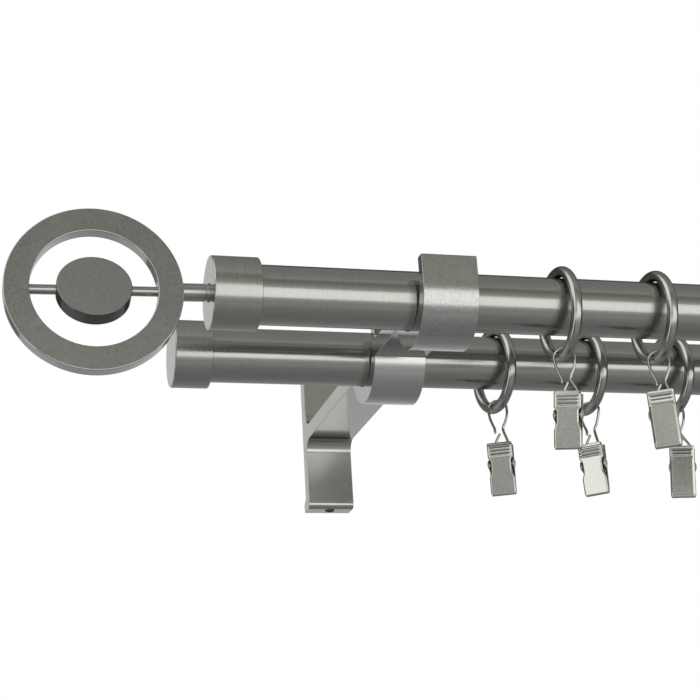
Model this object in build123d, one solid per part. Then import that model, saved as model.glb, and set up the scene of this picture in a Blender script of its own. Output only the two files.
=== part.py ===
from build123d import *
import math
import os

# Double curtain pole: two tubes on two wall brackets, with clip rings.
# Sizes in millimetres. +X runs along the poles, -Y faces the room, +Z is up.
# The origin is on the wall, in the middle of the left bracket's wall plate.

# Poles
pole_radius = 10.0
pole_wall = 1.0
pole_length = 1200.0
pole_axis_z = 0.85
front_pole_y = -164.8
pole_spacing = 60.5
rear_pole_y = front_pole_y + pole_spacing
front_pole_start = -75.75
rear_pole_start = -79.35
sliding_gap = 0.05

# Caps on the poles' ends
cap_radius = 12.3
cap_end = 2.0
front_cap_length = 16.8
rear_cap_length = 13.5
cap_edge = 0.35

# Finial: a stem, a flat ring, and a disc turned on two thin rods; it droops a little in its cap
stem_radius = 2.95
stem_socket = 2.0
stem_hole_gap = 0.2
ring_to_cap = 37.0
finial_droop = 1.2
finial_outer_radius = 28.6
finial_inner_radius = 20.4
finial_thickness = 4.7
finial_tilt = -4.5
finial_edge = 0.3
disc_radius = 12.05
disc_thickness = 5.2
disc_tilt = -18.2
rod_radius = 1.6
rod_socket = 2.5

# Bracket: one profile across the bracket's width
bracket_width = 19.3
bar_top = 3.21
bar_thickness = 6.42
cradle_radius = 12.5
cradle_outer = 16.55
cradle_height = 10.6
leg_thickness = 6.1
leg_half_height = 32.45
leg_edge = 2.3
leg_fillet = 4.5
seat_groove_radius = 1.0

# Wall plate in a dovetail behind the leg, locked by a grub screw from below
plate_thickness = 2.9
plate_gap = 0.1
plate_inner_margin = 5.85
plate_half_height = leg_half_height - plate_inner_margin
dovetail_run = 2.2
plate_inset = 2.0
wall_hole_radius = 2.3
wall_hole_spacing = 34.0
countersink_radius = 4.2
countersink_depth = 1.9
grub_radius = 2.0
grub_length = 5.2
grub_socket_radius = 1.1
grub_socket_depth = 2.2
grub_stand = 0.5
grub_setback = 0.35

# Curtain rings, hanging on their poles
curtain_ring_radius = 14.72
ring_wire_radius = 1.94

# Clip of bent sheet: a waisted jaw and a straight jaw on a riveted pin
sheet = 0.5
clip_height = 19.6
clip_half_width = 4.7
handle_reach = 3.0
pivot_depth = 7.8
lip_depth = 1.1
mouth_gap = 0.1
waist_half_width = 3.5
waist_top = 5.5
waist_corner = 0.9
waist_bottom = 11.1
waist_flare = 2.4
rib_radius = 0.45
rib_pitch = 1.2
rib_margin = 0.8
first_rib_depth = 2.4
waisted_ribs = 3
straight_ribs = 2
panel_top = 4.5
panel_bottom = 18.5
panel_margin = 0.7
panel_corner = 0.9
panel_rise = 0.25
shelf_depth = 2.9
wire_hole_radius = 0.85
wire_offset = 1.3
ear_half_height = 2.3
ear_end = 1.4
pin_radius = 0.6
pin_head_radius = 1.9
pin_head_rise = 0.55
spring_wire_radius = 0.3
spring_radius = 1.15
spring_pitch = 0.75
spring_turns = 3.5
spring_leg = 4.2

# Wire hook of a clip, in the hook's own plane
hook_wire_radius = 0.5
hook_loop_radius = 3.05
hook_edge_margin = 1.6
hook_foot_right = clip_half_width - hook_edge_margin
hook_foot_left = -1.1
hook_foot_depth = 1.9

# Each ring: name, pole, place along the pole, ring's turn, hook's turn,
# clip's place, lean and nod, and whether the straight jaw is in front
ring_places = [
    ("front_1", front_pole_y, 44.35, 0.4, 32.0, (0.0, -13.2), -6.4, 2.0, False),
    ("front_2", front_pole_y, 79.5, 0.5, 29.0, (-0.7, -13.0), 1.6, -1.0, True),
    ("rear_1", rear_pole_y, 41.65, 5.9, 28.0, (-0.4, -13.9), -0.4, 1.5, False),
    ("rear_2", rear_pole_y, 78.7, 4.2, 40.0, (-0.9, -13.6), 1.2, 0.5, False),
    ("rear_3", rear_pole_y, 114.4, 4.7, 29.0, (1.3, -14.9), -5.1, 2.0, True),
]

front_pole_end = front_pole_start + pole_length
rear_pole_end = rear_pole_start + pole_length
mid_x = (front_pole_start + front_pole_end) / 2
right_bracket_x = 2 * mid_x

os.makedirs("parts", exist_ok=True)


def save(shape, name):
    export_step(shape, "parts/" + name + ".step")


def along_x(x, y, z):
    """Plane whose normal runs along +X, with its own x along Y."""
    return Plane(origin=(x, y, z), x_dir=(0, 1, 0), z_dir=(1, 0, 0))


def tube(x, y, z, outer, inner, length):
    wall = Circle(outer) - Circle(inner)
    return extrude(along_x(x, y, z) * wall, length)


def rod(x, y, z, radius, length):
    return extrude(along_x(x, y, z) * Circle(radius), length)


def cap(x, y, length):
    """Cup that opens towards +X, with a softened rim."""
    body = rod(x, y, pole_axis_z, cap_radius, length)
    body = chamfer(body.edges().filter_by(GeomType.CIRCLE), cap_edge)
    bore = rod(x + cap_end, y, pole_axis_z, pole_radius + sliding_gap, length)
    return body - bore


def finial(cap_x):
    """Cap, stem, ring, rods and disc at the left end of the front pole."""
    ring_x = cap_x - ring_to_cap
    face = Plane(origin=(ring_x, front_pole_y, pole_axis_z), x_dir=(1, 0, 0), z_dir=(0, -1, 0))
    ring = extrude(face * (Circle(finial_outer_radius) - Circle(finial_inner_radius)),
                   finial_thickness / 2, both=True)
    ring = chamfer(ring.edges().filter_by(GeomType.CIRCLE), finial_edge)
    disc = extrude(face * Circle(disc_radius), disc_thickness / 2, both=True)
    disc = chamfer(disc.edges().filter_by(GeomType.CIRCLE), finial_edge)
    turning_axis = Axis((ring_x, front_pole_y, pole_axis_z), (1, 0, 0))
    ring = ring.rotate(turning_axis, finial_tilt)
    disc = disc.rotate(turning_axis, disc_tilt)

    rod_length = finial_inner_radius - disc_radius + 2 * rod_socket
    rods = []
    for rod_start in (ring_x - finial_inner_radius - rod_socket, ring_x + disc_radius - rod_socket):
        rods.append(rod(rod_start, front_pole_y, pole_axis_z, rod_radius, rod_length))
        ring -= rods[-1]
        disc_hole_start = rod_start - sliding_gap
        disc -= rod(disc_hole_start, front_pole_y, pole_axis_z,
                    rod_radius + sliding_gap, rod_length + 2 * sliding_gap)

    stem_start = ring_x + finial_outer_radius - stem_socket
    stem = rod(stem_start, front_pole_y, pole_axis_z, stem_radius, cap_x + cap_end - stem_start)
    ring -= stem
    stem_hole = rod(cap_x, front_pole_y, pole_axis_z, stem_radius + stem_hole_gap, cap_end)
    droop_axis = Axis((cap_x, front_pole_y, pole_axis_z), (0, 1, 0))
    pieces = {"finial_stem": stem, "finial_ring": ring, "finial_rods": rods[0] + rods[1],
              "finial_disc": disc}
    drooped = {name: piece.rotate(droop_axis, -finial_droop) for name, piece in pieces.items()}
    drooped["finial_cap"] = cap(cap_x, front_pole_y, front_cap_length) - stem_hole
    return drooped


def bracket_profile():
    """Side view of the bracket in the YZ plane: cradles, bar and leg."""
    side = Plane(origin=(0, 0, 0), x_dir=(0, 1, 0), z_dir=(1, 0, 0))
    bar_bottom = bar_top - bar_thickness
    leg_back = -plate_thickness
    leg_front = leg_back - leg_thickness

    def box(low_y, high_y, low_z, high_z):
        middle = Pos((low_y + high_y) / 2, (low_z + high_z) / 2)
        return middle * Rectangle(high_y - low_y, high_z - low_z)

    shape = box(front_pole_y, leg_front + leg_thickness / 2, bar_bottom, bar_top)
    shape += box(leg_front, leg_back, -leg_half_height, leg_half_height)
    for edge_z, turn in ((bar_top, 1), (bar_bottom, -1)):
        corner = box(leg_front - leg_fillet, leg_front, min(edge_z, edge_z + turn * leg_fillet),
                     max(edge_z, edge_z + turn * leg_fillet))
        shape += corner - Pos(leg_front - leg_fillet, edge_z + turn * leg_fillet) * Circle(leg_fillet)

    # Each cradle is an open U: round below the pole, straight above its axis
    for pole_y in (front_pole_y, rear_pole_y):
        shape += Pos(pole_y, pole_axis_z) * Circle(cradle_outer)
        shape += box(pole_y - cradle_outer, pole_y + cradle_outer,
                     pole_axis_z, pole_axis_z + cradle_height)
        shape -= box(pole_y - cradle_outer, pole_y + cradle_outer,
                     pole_axis_z + cradle_height, pole_axis_z + 2 * cradle_outer)
    seat_z = pole_axis_z - pole_radius - sliding_gap
    for pole_y in (front_pole_y, rear_pole_y):
        shape -= Pos(pole_y, seat_z + cradle_radius) * Circle(cradle_radius)
        shape -= box(pole_y - cradle_radius, pole_y + cradle_radius,
                     seat_z + cradle_radius, pole_axis_z + cradle_outer)
        shape -= Pos(pole_y, seat_z) * Circle(seat_groove_radius)

    # Slanted hooks at the leg's top and bottom, round the wall plate's bevels
    for turn in (1, -1):
        inner = turn * (plate_half_height + plate_gap)
        hook = Polygon((leg_back - plate_gap, inner), (0, inner + turn * dovetail_run),
                       (0, turn * leg_half_height), (leg_back - plate_gap, turn * leg_half_height),
                       align=None)
        shape += hook
    return side * shape


def bracket():
    """One bracket with its wall plate and grub screw, centred on x = 0."""
    body = extrude(bracket_profile(), bracket_width / 2, both=True)
    front_corners = [edge for edge in body.edges().filter_by(Axis.X)
                     if abs(abs(edge.center().Z) - leg_half_height) < sliding_gap
                     and edge.center().Y < -plate_thickness - leg_thickness / 2]
    body = fillet(front_corners, leg_edge)

    plate_side = Plane(origin=(0, 0, 0), x_dir=(0, 1, 0), z_dir=(1, 0, 0))
    half = plate_half_height
    bevel = half + dovetail_run * plate_thickness / (plate_thickness + plate_gap)
    outline = Polygon((-plate_thickness, -half), (0, -bevel), (0, bevel),
                      (-plate_thickness, half), align=None)
    plate = extrude(plate_side * outline, bracket_width / 2 - plate_inset, both=True)
    for turn in (1, -1):
        hole_z = turn * wall_hole_spacing / 2
        face = Plane(origin=(0, -plate_thickness, hole_z), x_dir=(1, 0, 0), z_dir=(0, 1, 0))
        plate -= extrude(face * Circle(wall_hole_radius), plate_thickness)
        cone = Cone(countersink_radius, wall_hole_radius, countersink_depth,
                    align=(Align.CENTER, Align.CENTER, Align.MIN))
        plate -= face * cone

    # The grub screw stands in the leg's foot, under the plate's lower bevel
    screw_y = -plate_thickness - grub_radius - grub_setback
    screw_foot = -leg_half_height - grub_stand
    foot = Plane(origin=(0, screw_y, screw_foot), x_dir=(1, 0, 0), z_dir=(0, 0, 1))
    screw = extrude(foot * Circle(grub_radius), grub_length)
    socket = RegularPolygon(grub_socket_radius, 6, major_radius=False)
    screw -= extrude(foot * socket, grub_socket_depth)
    hole = extrude(foot * Circle(grub_radius), grub_length)
    return {"bracket_body": body - hole, "wall_plate": plate, "grub_screw": screw}


def curtain_ring():
    """Closed ring of round wire in the YZ plane."""
    section = Plane(origin=(0, curtain_ring_radius, 0), x_dir=(0, 1, 0), z_dir=(0, 0, 1))
    return revolve(section * Circle(ring_wire_radius), Axis.X)


def swept_wire(path, radius):
    start = Plane(origin=path @ 0, z_dir=path % 0)
    return sweep(start * Circle(radius), path=path)


def hook(turn, clip_place, lean):
    """Bent wire in the XZ plane, with the ring's wire at the origin."""
    reach = hook_loop_radius / math.cos(math.radians(turn))
    drop = hook_loop_radius - ring_wire_radius - hook_wire_radius - sliding_gap

    def in_clip(u, z):
        angle = math.radians(lean)
        return (clip_place[0] + u * math.cos(angle) - z * math.sin(angle),
                clip_place[1] + u * math.sin(angle) + z * math.cos(angle))

    tip = [(-1.6, -9.7), (-1.7, -8.2), (-2.45, -6.1), (-3.1, -3.9)]
    loop = []
    for step in range(7):
        angle = math.pi * (1 - step / 6)
        loop.append((reach * math.cos(angle), hook_loop_radius * math.sin(angle) - drop))
    neck = [(3.35, -3.4), (2.6, -5.8), (1.6, -7.9), (1.5, -9.4)]
    foot = [in_clip(hook_foot_right, 0.6), in_clip(hook_foot_right, -0.9),
            in_clip((hook_foot_right + hook_foot_left) / 2, -hook_foot_depth),
            in_clip(hook_foot_left, -0.9), in_clip(hook_foot_left, 0.6)]
    end = [(clip_place[0] + 0.35, clip_place[1] + 3.2)]
    points = [Vector(u, 0, z) for u, z in tip + loop + neck + foot + end]
    return swept_wire(Spline(points), hook_wire_radius)


front_face = Plane(origin=(0, 0, 0), x_dir=(1, 0, 0), z_dir=(0, -1, 0))
jaw_foot = lip_depth + mouth_gap / 2


def jaw_slope():
    """Angle by which each jaw's sheet leans, so the handles stand apart."""
    return math.degrees(math.atan2(handle_reach - jaw_foot, clip_height))


def mirrored_outline(half):
    """Closed outline from the points of its right half, top to bottom."""
    return Polygon(*half, *[(-u, z) for u, z in reversed(half)], align=None)


def waisted_outline():
    return mirrored_outline([(clip_half_width, 0), (clip_half_width, -waist_top),
                             (waist_half_width, -waist_top - waist_corner),
                             (waist_half_width, -waist_bottom),
                             (clip_half_width, -waist_bottom - waist_flare),
                             (clip_half_width, -clip_height)])


def straight_outline():
    return mirrored_outline([(clip_half_width, 0), (clip_half_width, -clip_height)])


def ear(inner_u):
    """Side flange from a jaw's sheet to the pin, which lies at y = 0."""
    sheet_y = -handle_reach + (handle_reach - jaw_foot) * pivot_depth / clip_height + sheet / 2
    flat = Plane(origin=(inner_u, 0, 0), x_dir=(0, 1, 0), z_dir=(1, 0, 0))
    outline = Pos(sheet_y / 2, -pivot_depth) * Rectangle(-sheet_y, 2 * ear_half_height)
    outline += Pos(0, -pivot_depth) * Circle(ear_end)
    outline -= Pos(0, -pivot_depth) * Circle(pin_radius + sliding_gap)
    return extrude(flat * outline, sheet)


def jaw(outline, ear_outer, ribs):
    """A jaw towards -Y: leaning sheet with ribs, a folded lip and two ears."""
    body = extrude(front_face * outline, sheet, dir=(0, 1, 0))
    body += Pos(0, lip_depth / 2, sheet / 2 - clip_height) * Box(2 * clip_half_width, lip_depth, sheet)
    for row in range(ribs):
        rib = Cylinder(rib_radius, 2 * (clip_half_width - rib_margin), rotation=(0, 90, 0))
        body += Pos(0, 0, -first_rib_depth - row * rib_pitch) * rib
    body = body.rotate(Axis((0, 0, -clip_height), (1, 0, 0)), jaw_slope())
    body = Pos(0, -jaw_foot, 0) * body
    return body + ear(ear_outer - sheet) + ear(-ear_outer)


def clip():
    """Clip with its handles up; the waisted jaw is towards -Y."""
    waisted = jaw(waisted_outline(), waist_half_width, waisted_ribs)
    shelf = Pos(0, shelf_depth / 2 - handle_reach + sheet / 2, -sheet) * Box(
        2 * (clip_half_width - sheet), shelf_depth, sheet)
    for u in (hook_foot_right, hook_foot_left):
        shelf -= Pos(u, -wire_offset, 0) * Cylinder(wire_hole_radius, 4 * sheet)
    waisted += shelf

    straight = jaw(straight_outline(), clip_half_width, straight_ribs)
    panel = Pos(0, -(panel_top + panel_bottom) / 2) * RectangleRounded(
        2 * (clip_half_width - panel_margin), panel_bottom - panel_top, panel_corner)
    panel = extrude(front_face * panel, panel_rise, dir=(0, -1, 0))
    panel = panel.rotate(Axis((0, 0, -clip_height), (1, 0, 0)), jaw_slope())
    straight += Pos(0, -jaw_foot, 0) * panel
    straight = straight.rotate(Axis.Z, 180)
    return {"waisted_jaw": waisted, "straight_jaw": straight, "clip_pin": pin(), "clip_spring": spring()}


def pin():
    """Rivet through the ears, with a low dome at each side."""
    ball_radius = (pin_head_radius ** 2 + pin_head_rise ** 2) / (2 * pin_head_rise)
    seat = clip_half_width + sliding_gap
    centre = seat + pin_head_rise - ball_radius
    half_angle = math.asin(pin_head_radius / ball_radius) / 2
    crown = ThreePointArc((seat, pin_head_radius),
                          (centre + ball_radius * math.cos(half_angle), ball_radius * math.sin(half_angle)),
                          (seat + pin_head_rise, 0))
    half = make_face([Line((0, 0), (0, pin_radius)), Line((0, pin_radius), (seat, pin_radius)),
                      Line((seat, pin_radius), (seat, pin_head_radius)), crown,
                      Line((seat + pin_head_rise, 0), (0, 0))])
    half_pin = revolve(half, Axis.X)
    whole = half_pin + half_pin.mirror(Plane.YZ)
    return Pos(0, 0, -pivot_depth) * whole


def spring():
    """Coil round the pin whose ends run on straight, up behind each handle."""
    length = spring_pitch * spring_turns
    path = Helix(spring_pitch, length, spring_radius)
    coil = swept_wire(path, spring_wire_radius)
    for end, turn in ((0, -1), (1, 1)):
        face = Plane(origin=path @ end, z_dir=turn * (path % end))
        coil += extrude(face * Circle(spring_wire_radius), spring_leg)
    coil = Pos(0, 0, -length / 2) * coil
    return Pos(0, 0, -pivot_depth) * coil.rotate(Axis.Y, 90).rotate(Axis.X, -90)


# Poles and their ends
for pole_name, start, pole_y in (("front_pole", front_pole_start, front_pole_y),
                                 ("rear_pole", rear_pole_start, rear_pole_y)):
    save(tube(start, pole_y, pole_axis_z, pole_radius, pole_radius - pole_wall, pole_length), pole_name)

front_mid = Plane(origin=(mid_x, 0, 0), x_dir=(0, 1, 0), z_dir=(1, 0, 0))
rear_mid = Plane(origin=((rear_pole_start + rear_pole_end) / 2, 0, 0), x_dir=(0, 1, 0), z_dir=(1, 0, 0))
for piece_name, piece in finial(front_pole_start - cap_end).items():
    save(piece, piece_name + "_left")
    save(piece.mirror(front_mid), piece_name + "_right")
rear_cap = cap(rear_pole_start - cap_end, rear_pole_y, rear_cap_length)
save(rear_cap, "rear_cap_left")
save(rear_cap.mirror(rear_mid), "rear_cap_right")

# Brackets
for piece_name, piece in bracket().items():
    save(piece, piece_name + "_left")
    save(Pos(right_bracket_x, 0, 0) * piece, piece_name + "_right")

# Rings with their hooks and clips
ring_drop = curtain_ring_radius - ring_wire_radius - pole_radius - sliding_gap
clip_pieces = clip()
for name, pole_y, x, ring_turn, turn, clip_place, lean, nod, straight_in_front in ring_places:
    ring_z = pole_axis_z - ring_drop
    save(Pos(x, pole_y, ring_z) * Rot(0, 0, ring_turn) * curtain_ring(), "curtain_ring_" + name)
    hang = Pos(x, pole_y, ring_z - curtain_ring_radius) * Rot(0, 0, -turn)
    save(hang * hook(turn, clip_place, lean), "ring_hook_" + name)
    for piece_name, piece in clip_pieces.items():
        shifted = Pos(0, wire_offset, 0) * piece
        if straight_in_front:
            shifted = shifted.mirror(Plane.XZ)
        placed = Pos(clip_place[0], 0, clip_place[1]) * Rot(0, -lean, 0) * Rot(nod, 0, 0) * shifted
        save(hang * placed, piece_name + "_" + name)
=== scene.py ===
import math

import bmesh
import bpy
from mathutils import Matrix, Vector


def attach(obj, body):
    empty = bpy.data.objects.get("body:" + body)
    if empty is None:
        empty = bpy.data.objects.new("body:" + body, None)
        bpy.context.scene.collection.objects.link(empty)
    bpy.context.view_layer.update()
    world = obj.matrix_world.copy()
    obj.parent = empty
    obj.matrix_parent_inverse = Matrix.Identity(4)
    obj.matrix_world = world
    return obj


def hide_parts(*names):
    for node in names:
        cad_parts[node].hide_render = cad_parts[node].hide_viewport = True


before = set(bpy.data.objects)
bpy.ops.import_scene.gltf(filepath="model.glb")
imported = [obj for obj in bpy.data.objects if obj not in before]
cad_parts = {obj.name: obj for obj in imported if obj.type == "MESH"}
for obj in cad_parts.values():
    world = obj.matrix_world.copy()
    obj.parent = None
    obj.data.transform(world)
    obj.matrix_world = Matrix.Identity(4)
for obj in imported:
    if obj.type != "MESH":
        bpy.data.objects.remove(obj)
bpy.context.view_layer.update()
mm = 0.001
uvScale = 0.01  # brushing map's share of a millimetre
onAxis = 0.001  # radius in millimetres where a turned outline meets its axis
print("frame loaded:", len(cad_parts), "nodes")

# Places that several pieces share, in millimetres in the frame of the CAD
places = {
    "poleZ": 0.85,  # height of both poles' axes
    "frontY": -164.8,
    "rearY": -104.3,
    "frontStart": -75.75,  # left end of the front tube
    "rearStart": -79.35,
    "poleLength": 1200.0,
    "rightBracketX": 1048.5,
}
frontMidX = places["frontStart"] + places["poleLength"] / 2
rearMidX = places["rearStart"] + places["poleLength"] / 2


# Finishes: every one is a node material with its own brushing or grain
alongX = (14.0, 2000.0, 2000.0)  # streak scale for brushing along the bracket's width
roundX = (2100.0, 60.0, 60.0)  # and for turning marks round the poles' axes
evenly = (900.0, 900.0, 900.0)
nickel = (0.43, 0.432, 0.405)
# values that a finish keeps where it states none; rim is the light that stays at grazing angles
finishBase = {"anisotropy": 0.0, "turn": 0.25, "rim": 0.6, "cloudScale": 45.0, "wear": 0.2,
              "streakScale": evenly, "grainScale": 1500.0, "grainShare": 0.8,
              "toneSpread": 0.06, "lineStrength": 0.5, "lineDepth": 0.006,
              "grainStrength": 0.6, "grainDepth": 0.02}
noiseLow, noiseHigh = 0.3, 0.7  # usual reach of the noise textures


def nodeLink(tree, a, socketA, b, socketB):
    tree.links.new(a.outputs[socketA], b.inputs[socketB])


def addNode(tree, kind, inputs=None, **settings):
    # a node with its settings, and fixed values on some of its inputs
    node = tree.nodes.new(kind)
    for key, value in settings.items():
        setattr(node, key, value)
    for key, value in (inputs or {}).items():
        node.inputs[key].default_value = value
    return node


def newMaterial(name):
    material = bpy.data.materials.new(name)
    material.use_nodes = True
    return material, material.node_tree


def metalFinish(name, look):
    # brushed or blasted metal: streaks along the brushing, fine grain and slow clouds
    look = {**finishBase, **look}
    material, tree = newMaterial(name)
    shader = tree.nodes["Principled BSDF"]
    shader.inputs["Metallic"].default_value = 1.0
    shader.inputs["Anisotropic"].default_value = look["anisotropy"]
    shader.inputs["Anisotropic Rotation"].default_value = look["turn"]
    shader.inputs["Specular Tint"].default_value = (look["rim"], look["rim"], look["rim"], 1)
    coordinates = addNode(tree, "ShaderNodeTexCoord")
    stretch = addNode(tree, "ShaderNodeMapping", {"Scale": look["streakScale"]})
    nodeLink(tree, coordinates, "Object", stretch, "Vector")
    streaks = addNode(tree, "ShaderNodeTexNoise", {"Scale": 1.0, "Detail": 4.0})
    nodeLink(tree, stretch, "Vector", streaks, "Vector")
    grain = addNode(tree, "ShaderNodeTexNoise", {"Scale": look["grainScale"], "Detail": 2.0})
    nodeLink(tree, coordinates, "Object", grain, "Vector")
    clouds = addNode(tree, "ShaderNodeTexNoise", {"Scale": look["cloudScale"]})
    nodeLink(tree, coordinates, "Object", clouds, "Vector")

    # colour: the metal's own, a little darker or lighter along the streaks and in the grain
    mixed = addNode(tree, "ShaderNodeMath", {1: look["grainShare"]}, operation="MULTIPLY_ADD")
    nodeLink(tree, grain, "Fac", mixed, 0)
    nodeLink(tree, streaks, "Fac", mixed, 2)
    tone = addNode(tree, "ShaderNodeMapRange", {
        "From Min": noiseLow + noiseLow * look["grainShare"],
        "From Max": noiseHigh + noiseHigh * look["grainShare"],
        "To Min": 1.0 - look["toneSpread"], "To Max": 1.0 + look["toneSpread"]})
    nodeLink(tree, mixed, "Value", tone, "Value")
    colour = addNode(tree, "ShaderNodeVectorMath", {0: look["colour"]}, operation="SCALE")
    nodeLink(tree, tone, "Result", colour, "Scale")
    nodeLink(tree, colour, "Vector", shader, "Base Color")

    # roughness: changes with the streaks and the slow clouds
    worn = addNode(tree, "ShaderNodeMath", operation="ADD")
    nodeLink(tree, streaks, "Fac", worn, 0)
    nodeLink(tree, clouds, "Fac", worn, 1)
    rough = addNode(tree, "ShaderNodeMapRange", {
        "From Min": 2 * noiseLow, "From Max": 2 * noiseHigh,
        "To Min": look["roughness"] * (1 - look["wear"]),
        "To Max": look["roughness"] * (1 + look["wear"])})
    nodeLink(tree, worn, "Value", rough, "Value")
    nodeLink(tree, rough, "Result", shader, "Roughness")

    # relief: brushing lines first, then the grain on top of them
    lines = addNode(tree, "ShaderNodeBump", {
        "Strength": look["lineStrength"], "Distance": look["lineDepth"] * mm})
    nodeLink(tree, streaks, "Fac", lines, "Height")
    pits = addNode(tree, "ShaderNodeBump", {
        "Strength": look["grainStrength"], "Distance": look["grainDepth"] * mm})
    nodeLink(tree, grain, "Fac", pits, "Height")
    nodeLink(tree, lines, "Normal", pits, "Normal")
    nodeLink(tree, pits, "Normal", shader, "Normal")
    if look["anisotropy"] > 0:
        tangent = addNode(tree, "ShaderNodeTangent", direction_type="UV_MAP", uv_map="brushing")
        nodeLink(tree, tangent, "Tangent", shader, "Tangent")
    return material


finishes = {
    "pole": metalFinish("turnedPoleNickel", {
        "colour": nickel, "roughness": 0.2, "anisotropy": 0.66, "turn": 0.0, "streakScale": roundX,
        "grainShare": 0.6, "toneSpread": 0.05, "lineStrength": 1.0, "lineDepth": 0.02,
        "grainStrength": 1.0, "grainDepth": 0.007}),
    "cap": metalFinish("turnedCapNickel", {
        "colour": nickel, "roughness": 0.25, "anisotropy": 0.88, "turn": 0.0, "streakScale": roundX,
        "grainShare": 0.5, "lineStrength": 1.0, "lineDepth": 0.012, "grainStrength": 1.0,
        "grainDepth": 0.008}),
    "polished": metalFinish("polishedEndNickel", {
        "colour": (0.53, 0.53, 0.52), "rim": 0.9, "roughness": 0.11, "grainScale": 1600.0,
        "grainShare": 0.5, "toneSpread": 0.02, "lineStrength": 0.2, "lineDepth": 0.004,
        "grainStrength": 0.3, "grainDepth": 0.004}),
    "matt": metalFinish("blastedFaceNickel", {
        "colour": (0.41, 0.411, 0.398), "roughness": 0.3, "grainScale": 2200.0, "grainShare": 1.0,
        "toneSpread": 0.13, "lineDepth": 0.02, "grainStrength": 1.0, "grainDepth": 0.016}),
    "bracket": metalFinish("brushedBracketNickel", {
        "colour": (0.46, 0.462, 0.43), "roughness": 0.17, "streakScale": alongX, "toneSpread": 0.05,
        "grainDepth": 0.012}),
    # painted light: a lighter copy of the bracket's brushed nickel, for the cradles and the bar between
    # them
    "cradle": metalFinish("cradlePaintedLightNickel", {
        "colour": (0.57, 0.572, 0.55), "roughness": 0.17, "streakScale": alongX, "toneSpread": 0.05,
        "grainDepth": 0.012}),
    # painted light: a lighter, slightly rougher copy of the bracket's brushed nickel, for the leg's front
    # face
    "legFront": metalFinish("legFrontPaintedLightNickel", {
        "colour": (0.58, 0.58, 0.555), "roughness": 0.22, "streakScale": alongX, "lineDepth": 0.008,
        "grainDepth": 0.016}),
    "lip": metalFinish("grainedLipNickel", {
        "colour": (0.47, 0.472, 0.455), "roughness": 0.15, "grainScale": 2300.0, "grainShare": 1.0,
        "toneSpread": 0.16, "lineStrength": 0.4, "lineDepth": 0.008, "grainStrength": 1.0}),
    "ring": metalFinish("ringNickel", {
        "colour": nickel, "rim": 0.3, "roughness": 0.19, "grainShare": 0.4, "toneSpread": 0.04,
        "lineStrength": 0.3, "lineDepth": 0.008, "grainStrength": 0.4, "grainDepth": 0.006}),
    "wire": metalFinish("hookWireNickel", {
        "colour": (0.5, 0.5, 0.47), "rim": 0.3, "roughness": 0.18, "grainScale": 2400.0,
        "grainShare": 0.6, "lineStrength": 0.2, "lineDepth": 0.008, "grainStrength": 0.3,
        "grainDepth": 0.006}),
    "clip": metalFinish("stampedClipNickel", {
        "colour": (0.565, 0.56, 0.515), "rim": 0.35, "roughness": 0.17, "grainScale": 1900.0,
        "toneSpread": 0.09, "lineStrength": 0.3, "lineDepth": 0.01, "grainDepth": 0.009}),
    # painted shade for the steep sides of the clips' ribs
    "ribPaintedShade": metalFinish("ribPaintedShadeNickel", {
        "colour": (0.2, 0.2, 0.185), "rim": 0.3, "roughness": 0.3, "grainScale": 1900.0,
        "lineStrength": 0.3, "lineDepth": 0.01}),
    # painted light: a rougher copy of the clip nickel, made lighter, for the jaws' inner sides and the
    # rivet
    "clipInsidePaintedLight": metalFinish("clipInsidePaintedLightNickel", {
        "colour": (0.75, 0.75, 0.71), "roughness": 0.5, "grainScale": 1900.0, "lineStrength": 0.3,
        "lineDepth": 0.01}),
    "plate": metalFinish("mattPlateNickel", {
        "colour": (0.40, 0.40, 0.385), "roughness": 0.4, "toneSpread": 0.08, "lineDepth": 0.02,
        "grainStrength": 0.8}),
    "screw": metalFinish("darkScrewSteel", {
        "colour": (0.12, 0.12, 0.115), "roughness": 0.3, "grainScale": 2400.0, "grainShare": 0.6,
        "toneSpread": 0.1, "lineStrength": 0.3, "lineDepth": 0.01, "grainStrength": 0.4,
        "grainDepth": 0.01}),
    # painted shade: a glossy finish, darkened to stand in for the dark surroundings that the disc's side
    # reflects
    "discSide": metalFinish("discSidePaintedShadeNickel", {
        "colour": (0.16, 0.16, 0.15), "rim": 0.5, "roughness": 0.12, "grainShare": 0.5,
        "toneSpread": 0.05, "lineStrength": 0.2, "grainStrength": 0.3, "grainDepth": 0.006}),
    "spring": metalFinish("springSteel", {
        "colour": (0.42, 0.42, 0.41), "roughness": 0.28, "grainScale": 3000.0, "grainShare": 0.5,
        "lineStrength": 0.2, "grainStrength": 0.3, "grainDepth": 0.005}),
}
print("finishes made:", len(finishes))


# Shapes: outlines in millimetres, turned, extruded or swept into meshes

def roundCorners(corners, stepDegrees=18.0):
    # corners are (a, b, radius); a radius above 0 becomes an arc
    outline = []
    for i, (a, b, radius) in enumerate(corners):
        here = Vector((a, b))
        if radius <= 0:
            outline.append(here)
            continue
        toBefore = (Vector(corners[i - 1][:2]) - here).normalized()
        toAfter = (Vector(corners[(i + 1) % len(corners)][:2]) - here).normalized()
        half = toBefore.angle(toAfter) / 2
        centre = here + (toBefore + toAfter).normalized() * radius / math.sin(half)
        start = here + toBefore * radius / math.tan(half) - centre
        end = here + toAfter * radius / math.tan(half) - centre
        first = math.atan2(start.y, start.x)
        sweep = (math.atan2(end.y, end.x) - first + math.pi) % (2 * math.pi) - math.pi
        steps = max(3, round(abs(sweep) / math.radians(stepDegrees)))
        for k in range(steps + 1):
            angle = first + sweep * k / steps
            outline.append(centre + radius * Vector((math.cos(angle), math.sin(angle))))
    return outline


def arcPoints(centreA, centreB, radius, fromDegrees, toDegrees, stepDegrees=4.0):
    steps = max(2, round(abs(toDegrees - fromDegrees) / stepDegrees))
    points = []
    for k in range(steps + 1):
        angle = math.radians(fromDegrees + (toDegrees - fromDegrees) * k / steps)
        points.append((centreA + radius * math.cos(angle), centreB + radius * math.sin(angle), 0))
    return points


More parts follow.
